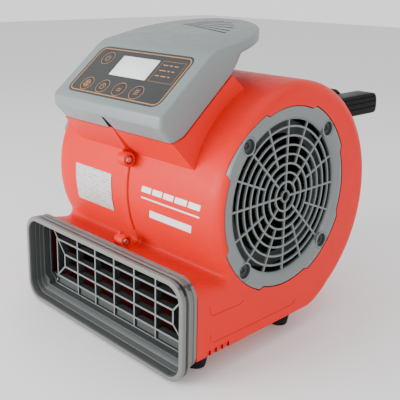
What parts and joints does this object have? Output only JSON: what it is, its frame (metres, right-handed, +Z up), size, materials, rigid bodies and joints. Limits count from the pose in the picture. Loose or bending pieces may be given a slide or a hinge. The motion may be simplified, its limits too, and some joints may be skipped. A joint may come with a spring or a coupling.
{
  "type": "air mover",
  "caption": "Floor-standing centrifugal air mover with a volute housing, double-inlet blower wheel, guarded round inlets, wide grilled outlet nozzle and a sloped timer console",
  "frame": {"origin": "on the floor, under the middle of the whole part's box", "axes": "+X to the machine's right-hand side along the fan axis, +Y to the rear (the outlet blows towards -Y), +Z up"},
  "size_m": [0.336, 0.421, 0.413],
  "materials": {
    "body_red": "rotomoulded red plastic, satin with a fine pebble",
    "grey_plastic": "blue-grey moulded plastic, satin",
    "nozzle_grey": "warm grey moulded plastic, satin",
    "membrane": "dark grey embossed membrane film",
    "clear_lens": "pale display film, glossy",
    "display": "liquid crystal display behind its film",
    "circuit_board": "green solder mask",
    "black_plastic": "black moulded plastic, fine grain",
    "switch_black": "black switch housing",
    "rubber": "black rubber, matte",
    "steel": "zinc plated steel",
    "iron": "painted motor steel and stacked laminations",
    "film": "white capacitor case",
    "label": "printed silver rating plate"
  },
  "bodies": {
    "chassis": {"housing_right": "body_red", "housing_left": "body_red", "inlet_grille_right": "grey_plastic", "inlet_grille_left": "grey_plastic", "nozzle": "nozzle_grey", "outlet_grille": "grey_plastic", "console_cover": "grey_plastic", "console_base": "grey_plastic", "membrane_overlay": "membrane", "lcd_window": "clear_lens", "lcd_module": "display", "display_board": "circuit_board", "power_board": "circuit_board", "motor_can": "iron", "motor_bracket": "iron", "stator": "iron", "bearing_front": "steel", "bearing_rear": "steel", "run_capacitor": "film", "seam_screw_upper": "steel", "seam_screw_lower": "steel", "handle_arm_right": "black_plastic", "handle_arm_left": "black_plastic", "handle_grip": "black_plastic", "handle_bolt_right": "steel", "handle_bolt_left": "steel", "foot_front_right": "rubber", "foot_rear_right": "rubber", "foot_front_left": "rubber", "foot_rear_left": "rubber", "rating_plate": "label", "cable_gland": "black_plastic", "grille_screw_right_1": "steel", "grille_screw_right_2": "steel", "grille_screw_right_3": "steel", "grille_screw_right_4": "steel", "grille_screw_left_1": "steel", "grille_screw_left_2": "steel", "grille_screw_left_3": "steel", "grille_screw_left_4": "steel", "bracket_screw_1": "steel", "bracket_screw_2": "steel", "bracket_screw_3": "steel", "bracket_screw_4": "steel", "switch_power": "switch_black", "switch_fan": "switch_black", "switch_timer": "switch_black", "switch_hours": "switch_black", "switch_minutes": "switch_black"},
    "fan": {"impeller": "black_plastic", "motor_shaft": "steel", "rotor_core": "iron", "impeller_nut": "steel"},
    "button_power_key": {"button_power": "membrane"},
    "button_fan_key": {"button_fan": "membrane"},
    "button_timer_key": {"button_timer": "membrane"},
    "button_hours_key": {"button_hours": "membrane"},
    "button_minutes_key": {"button_minutes": "membrane"}
  },
  "joints": [
    {"name": "fan_spin", "type": "hinge", "parent": "chassis", "child": "fan", "pos_m": [0, -0.0275, 0.199], "axis": [1, 0, 0], "continuous": true},
    {"name": "button_power_press", "type": "slide", "parent": "chassis", "child": "button_power_key", "axis": [0, 0.6387, -0.7695], "range_m": [0, 0.0006], "stiffness_N_per_m": 1200, "springref_m": -0.0005},
    {"name": "button_fan_press", "type": "slide", "parent": "chassis", "child": "button_fan_key", "axis": [0, 0.6387, -0.7695], "range_m": [0, 0.0006], "stiffness_N_per_m": 1200, "springref_m": -0.0005},
    {"name": "button_timer_press", "type": "slide", "parent": "chassis", "child": "button_timer_key", "axis": [0, 0.6387, -0.7695], "range_m": [0, 0.0006], "stiffness_N_per_m": 1200, "springref_m": -0.0005},
    {"name": "button_hours_press", "type": "slide", "parent": "chassis", "child": "button_hours_key", "axis": [0, 0.6387, -0.7695], "range_m": [0, 0.0006], "stiffness_N_per_m": 1200, "springref_m": -0.0005},
    {"name": "button_minutes_press", "type": "slide", "parent": "chassis", "child": "button_minutes_key", "axis": [0, 0.6387, -0.7695], "range_m": [0, 0.0006], "stiffness_N_per_m": 1200, "springref_m": -0.0005}
  ]
}
